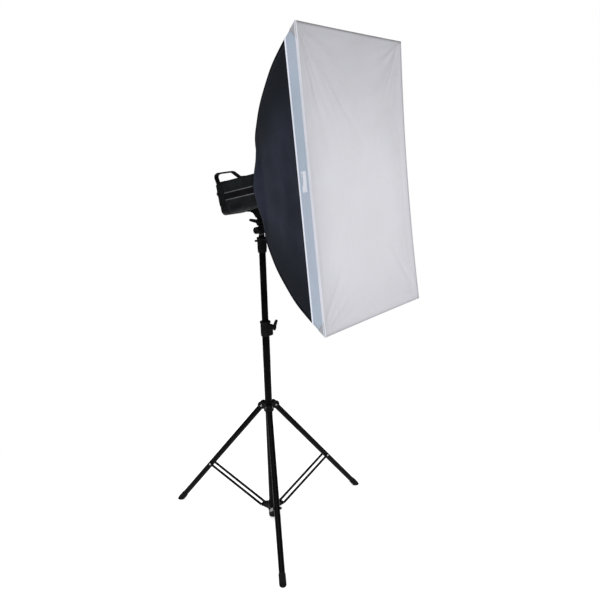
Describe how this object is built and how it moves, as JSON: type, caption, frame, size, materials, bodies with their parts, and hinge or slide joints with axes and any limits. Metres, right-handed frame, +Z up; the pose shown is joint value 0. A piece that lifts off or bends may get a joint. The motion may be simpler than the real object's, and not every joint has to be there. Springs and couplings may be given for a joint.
{
  "type": "monolight strobe",
  "caption": "Studio flash head with a carrying handle, a rectangular softbox and a tilt bracket, on a telescoping light stand with folding legs.",
  "frame": {"origin": "on the floor under the middle of the whole object's box", "axes": "+Z up, +X the way the light points, +Y to the lamp's left"},
  "size_m": [0.9299, 0.7713, 1.8035],
  "materials": {
    "tube": "black semi-gloss paint",
    "collar": "black moulded plastic, fine texture",
    "rubber": "black rubber",
    "steel": "bright turned steel",
    "bracket": "black satin paint on a casting",
    "casing": "charcoal, fine pebble texture",
    "bezel": "black moulded plastic",
    "trim": "glossy black, blank",
    "control": "dark grey plastic",
    "reflector": "white satin",
    "glass": "clear to frosted glass",
    "board": "green laminate",
    "capacitor": "dark blue sleeve on an aluminium can",
    "ring": "grey cast alloy",
    "fibre": "black glass-fibre rod",
    "shell": "charcoal-navy coated nylon, silver lining inside",
    "diffuser": "white translucent nylon with a grey-blue border"
  },
  "bodies": {
    "stand_column": {"column_tube": "tube", "spreader_hub": "collar", "lower_clamp": "collar"},
    "leg_collar": {"leg_collar": "collar"},
    "collar_knob": {"leg_collar_knob": "collar"},
    "leg_1": {"leg_1": "tube", "leg_knuckle_1": "collar", "foot_1": "rubber"},
    "leg_2": {"leg_2": "tube", "leg_knuckle_2": "collar", "foot_2": "rubber"},
    "leg_3": {"leg_3": "tube", "leg_knuckle_3": "collar", "foot_3": "rubber"},
    "brace_1": {"brace_1": "tube"},
    "brace_2": {"brace_2": "tube"},
    "brace_3": {"brace_3": "tube"},
    "lower_knob": {"lower_clamp_knob": "collar"},
    "middle_section": {"middle_tube": "tube", "upper_clamp": "collar"},
    "upper_knob": {"upper_clamp_knob": "collar"},
    "top_section": {"top_tube": "tube", "spigot": "steel"},
    "bracket": {"stand_bracket": "bracket"},
    "spigot_knob": {"spigot_knob": "collar"},
    "tilt_lever": {"tilt_lever": "collar"},
    "strobe": {"tilt_block": "bracket", "lower_shell": "casing", "upper_shell": "casing", "side_trim_left": "trim", "side_trim_right": "trim", "rear_bezel": "bezel", "rear_panel": "bezel", "front_casting": "bezel", "reflector_plate": "reflector", "flash_tube": "glass", "modelling_lamp": "glass", "main_board": "board", "capacitor_1": "capacitor", "capacitor_2": "capacitor", "fan_frame": "bezel", "handle": "bezel", "mains_inlet": "control", "sync_socket": "steel", "sensor_dome": "glass"},
    "umbrella_screw": {"umbrella_screw": "collar"},
    "bayonet_release": {"bayonet_release": "control"},
    "fan_rotor": {"fan_rotor": "bezel"},
    "mains_switch": {"mains_switch": "control"},
    "lamp_switch": {"lamp_switch": "control"},
    "power_dial": {"power_dial": "control"},
    "test_button": {"test_button": "control"},
    "mount_adapter": {"mount_adapter": "ring"},
    "softbox": {"speed_ring": "ring", "rib_1": "fibre", "rib_2": "fibre", "rib_3": "fibre", "rib_4": "fibre", "shell_fabric": "shell", "front_diffuser": "diffuser"}
  },
  "joints": [
    {"name": "collar_slide", "type": "slide", "parent": "stand_column", "child": "leg_collar", "axis": [0, 0, 1], "range_m": [0, 0.2193]},
    {"name": "leg_1_fold", "type": "hinge", "parent": "leg_collar", "child": "leg_1", "pos_m": [-0.01329, -0.02428, 0.485], "axis": [-0.9555, 0.2949, 0], "range_deg": [0, 35.64]},
    {"name": "brace_1_fold", "type": "hinge", "parent": "leg_1", "child": "brace_1", "pos_m": [0.05962, 0.21196, 0.19642], "axis": [-0.9555, 0.2949, 0], "range_deg": [-90.87, 0]},
    {"name": "leg_2_fold", "type": "hinge", "parent": "leg_collar", "child": "leg_2", "pos_m": [-0.04694, -0.05549, 0.485], "axis": [0.2224, -0.975, 0], "range_deg": [0, 35.64]},
    {"name": "brace_2_fold", "type": "hinge", "parent": "leg_2", "child": "brace_2", "pos_m": [-0.28797, -0.11048, 0.19642], "axis": [0.2224, -0.975, 0], "range_deg": [-90.87, 0]},
    {"name": "leg_3_fold", "type": "hinge", "parent": "leg_collar", "child": "leg_3", "pos_m": [-0.00308, -0.06903, 0.485], "axis": [0.7331, 0.6801, 0], "range_deg": [0, 35.64]},
    {"name": "brace_3_fold", "type": "hinge", "parent": "leg_3", "child": "brace_3", "pos_m": [0.16506, -0.25028, 0.19642], "axis": [0.7331, 0.6801, 0], "range_deg": [-90.87, 0]},
    {"name": "collar_knob_turn", "type": "hinge", "parent": "leg_collar", "child": "collar_knob", "pos_m": [-0.0211, -0.0496, 0.485], "axis": [-0.6801, 0.7331, 0], "range_deg": [0, 360]},
    {"name": "lower_knob_turn", "type": "hinge", "parent": "stand_column", "child": "lower_knob", "pos_m": [-0.0211, -0.0496, 0.802], "axis": [0.9848, 0.1736, 0], "range_deg": [0, 360]},
    {"name": "middle_slide", "type": "slide", "parent": "stand_column", "child": "middle_section", "axis": [0, 0, 1], "range_m": [-0.255, 0.36]},
    {"name": "upper_knob_turn", "type": "hinge", "parent": "middle_section", "child": "upper_knob", "pos_m": [-0.0211, -0.0496, 1.1], "axis": [-0.4226, 0.9063, 0], "range_deg": [0, 360]},
    {"name": "top_slide", "type": "slide", "parent": "middle_section", "child": "top_section", "axis": [0, 0, 1], "range_m": [0, 0.6]},
    {"name": "pan", "type": "hinge", "parent": "top_section", "child": "bracket", "pos_m": [-0.0211, -0.0496, 1.17], "axis": [0, 0, 1], "continuous": true},
    {"name": "spigot_knob_turn", "type": "hinge", "parent": "bracket", "child": "spigot_knob", "pos_m": [-0.0211, -0.0496, 1.17], "axis": [0, -1, 0], "range_deg": [0, 360]},
    {"name": "tilt", "type": "hinge", "parent": "bracket", "child": "strobe", "pos_m": [-0.0211, -0.0496, 1.202], "axis": [0, 1, 0], "range_deg": [-64, 45]},
    {"name": "tilt_lever_turn", "type": "hinge", "parent": "bracket", "child": "tilt_lever", "pos_m": [-0.0211, -0.0496, 1.202], "axis": [0, 1, 0], "range_deg": [-30, 45]},
    {"name": "umbrella_screw_turn", "type": "hinge", "parent": "strobe", "child": "umbrella_screw", "pos_m": [-0.02625, -0.0496, 1.22799], "axis": [0, 1, 0], "range_deg": [0, 360]},
    {"name": "release_press", "type": "slide", "parent": "strobe", "child": "bayonet_release", "axis": [0.1942, 0, -0.981], "range_m": [0, 0.003], "stiffness_N_per_m": 300},
    {"name": "fan_spin", "type": "hinge", "parent": "strobe", "child": "fan_rotor", "pos_m": [-0.13949, -0.0676, 1.28764], "axis": [0.981, 0, 0.1942], "continuous": true},
    {"name": "mains_switch_rock", "type": "hinge", "parent": "strobe", "child": "mains_switch", "pos_m": [-0.19786, -0.0636, 1.27608], "axis": [0, 1, 0], "range_deg": [0, 12]},
    {"name": "lamp_switch_rock", "type": "hinge", "parent": "strobe", "child": "lamp_switch", "pos_m": [-0.19786, -0.0356, 1.27608], "axis": [0, 1, 0], "range_deg": [0, 12]},
    {"name": "power_dial_turn", "type": "hinge", "parent": "strobe", "child": "power_dial", "pos_m": [-0.20527, -0.0616, 1.29806], "axis": [-0.981, 0, -0.1942], "range_deg": [-135, 135]},
    {"name": "test_button_press", "type": "slide", "parent": "strobe", "child": "test_button", "axis": [0.981, 0, 0.1942], "range_m": [0, 0.0025], "stiffness_N_per_m": 300},
    {"name": "softbox_off", "type": "slide", "parent": "strobe", "child": "mount_adapter", "axis": [0.981, 0, 0.1942], "range_m": [0, 0.12]},
    {"name": "softbox_turn", "type": "hinge", "parent": "mount_adapter", "child": "softbox", "pos_m": [0.02384, -0.0496, 1.31998], "axis": [0.9962, 0, 0.0872], "range_deg": [-90, 90]}
  ],
  "couplings": [
    {"joint": "leg_1_fold", "follows": "collar_slide", "rad_per_m": 2.8312},
    {"joint": "brace_1_fold", "follows": "collar_slide", "rad_per_m": -7.2256},
    {"joint": "leg_2_fold", "follows": "collar_slide", "rad_per_m": 2.8312},
    {"joint": "brace_2_fold", "follows": "collar_slide", "rad_per_m": -7.2256},
    {"joint": "leg_3_fold", "follows": "collar_slide", "rad_per_m": 2.8312},
    {"joint": "brace_3_fold", "follows": "collar_slide", "rad_per_m": -7.2256}
  ]
}
